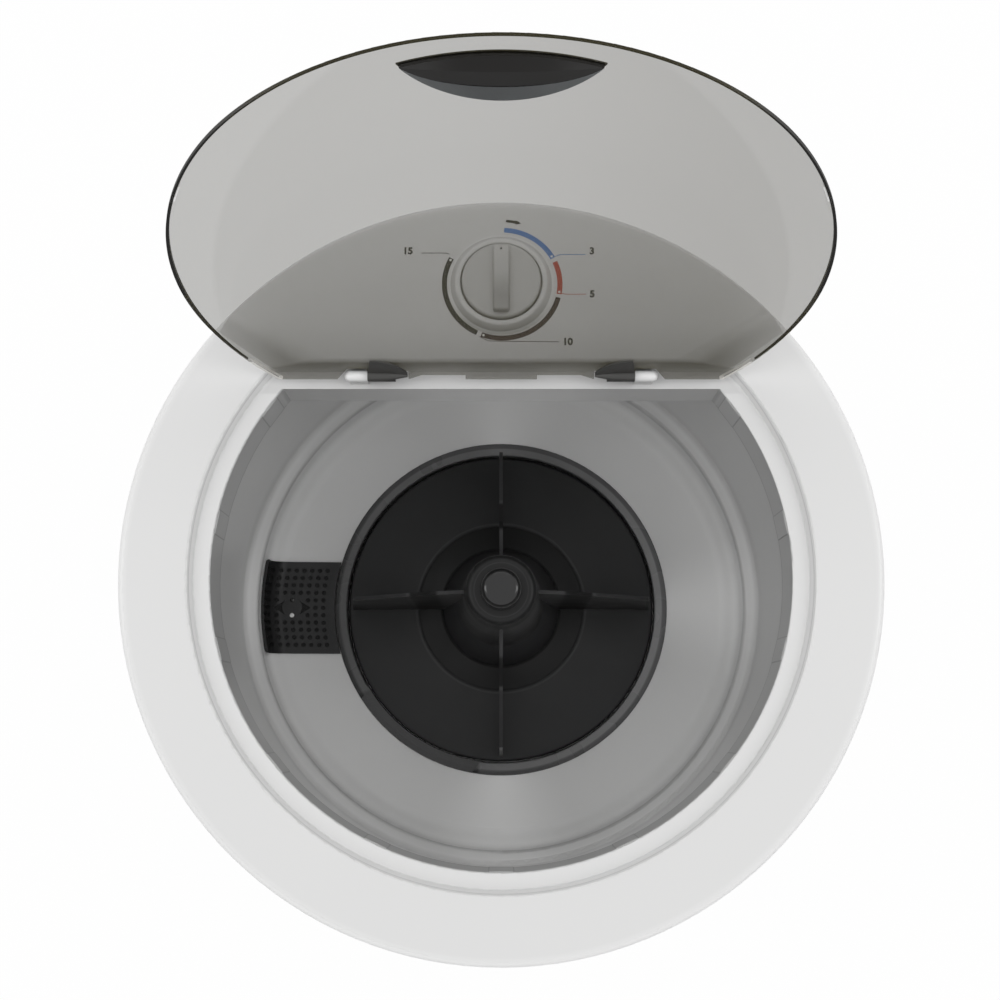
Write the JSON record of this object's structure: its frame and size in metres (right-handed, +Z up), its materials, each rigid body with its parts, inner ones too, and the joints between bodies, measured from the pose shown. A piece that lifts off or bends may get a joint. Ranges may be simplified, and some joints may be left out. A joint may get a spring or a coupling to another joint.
{
  "type": "semi-automatic washing machine",
  "caption": "Round single-tub washing machine with a smoked clear hinged lid, a dial timer on a sloping rear deck, a bladed impeller, a lint filter plate and a belt drive underneath",
  "frame": {"origin": "Centre of the machine's footprint on the floor, under the feet", "axes": "+X to the right seen from the front, +Y to the back where the control deck is, +Z up"},
  "size_m": [0.49, 0.4904, 1.0628],
  "materials": {
    "white_gloss": "smooth white moulding",
    "tub_grey": "satin pale grey moulding",
    "knob_grey": "smooth pale moulding",
    "base_white": "fine matt moulding",
    "smoke_clear": "clear smoked sheet",
    "dark_gloss": "polished dark moulding",
    "charcoal": "satin charcoal moulding",
    "black_rubber": "matt",
    "hose_grey": "matt flexible tube",
    "fitting_black": "matt moulding",
    "steel": "zinc plated",
    "bush_bronze": "sintered",
    "cast_alloy": "as cast",
    "bracket_grey": "dip painted",
    "lamination": "stacked laminations",
    "copper": "enamelled wire",
    "fan_plastic": "moulded",
    "capacitor_cream": "moulded case"
  },
  "bodies": {
    "cabinet": {"base": "base_white", "base_screws": "steel", "bearing_housing": "cast_alloy", "bracket_screws": "steel", "cabinet_shell": "white_gloss", "capacitor": "capacitor_cream", "capacitor_clip": "steel", "cord_gland": "fitting_black", "cover_screws": "steel", "drain_hose": "hose_grey", "drain_outlet": "fitting_black", "drive_belt": "black_rubber", "foot_front_left": "black_rubber", "foot_front_right": "black_rubber", "foot_rear_left": "black_rubber", "foot_rear_right": "black_rubber", "hinge_pins": "steel", "housing_gasket": "black_rubber", "housing_screws": "steel", "impeller_ring": "charcoal", "lower_bush": "bush_bronze", "motor_bracket": "bracket_grey", "motor_lower_bell": "cast_alloy", "motor_mounts": "black_rubber", "motor_stator": "lamination", "motor_through_bolts": "steel", "motor_upper_bell": "cast_alloy", "motor_windings": "copper", "shaft_seal": "black_rubber", "splash_box": "base_white", "timer_body": "fitting_black", "timer_screws": "steel", "top_cover": "white_gloss", "upper_bush": "bush_bronze", "wash_tub": "tub_grey"},
    "lid": {"lid_panel": "smoke_clear", "lid_handle": "dark_gloss", "hinge_knuckle_left": "dark_gloss", "hinge_knuckle_right": "dark_gloss"},
    "knob": {"knob": "knob_grey", "timer_spindle": "steel"},
    "filter": {"lint_filter": "charcoal"},
    "impeller": {"impeller": "charcoal", "impeller_cap": "charcoal", "impeller_screw": "steel", "drive_shaft": "steel", "shaft_clip": "steel", "large_pulley": "cast_alloy", "pulley_nut": "steel"},
    "motor_rotor": {"motor_rotor": "lamination", "motor_shaft": "steel", "motor_fan": "fan_plastic", "motor_pulley": "cast_alloy"}
  },
  "joints": [
    {"name": "lid_hinge", "type": "hinge", "parent": "cabinet", "child": "lid", "pos_m": [0, 0.1286, 0.762], "axis": [1, 0, 0], "range_deg": [0, 111.2]},
    {"name": "knob_turn", "type": "hinge", "parent": "cabinet", "child": "knob", "pos_m": [0, 0.188, 0.76799], "axis": [0, 0.1491, 0.9888], "range_deg": [-300, 0]},
    {"name": "filter_lift", "type": "slide", "parent": "cabinet", "child": "filter", "axis": [0, 0, 1], "range_m": [0, 0.24]},
    {"name": "impeller_spin", "type": "hinge", "parent": "cabinet", "child": "impeller", "pos_m": [0, 0, 0.42], "axis": [0, 0, 1], "continuous": true},
    {"name": "motor_spin", "type": "hinge", "parent": "cabinet", "child": "motor_rotor", "pos_m": [0.13, 0, 0.34], "axis": [0, 0, 1], "continuous": true}
  ],
  "couplings": [
    {"joint": "motor_spin", "follows": "impeller_spin", "ratio": 4}
  ]
}
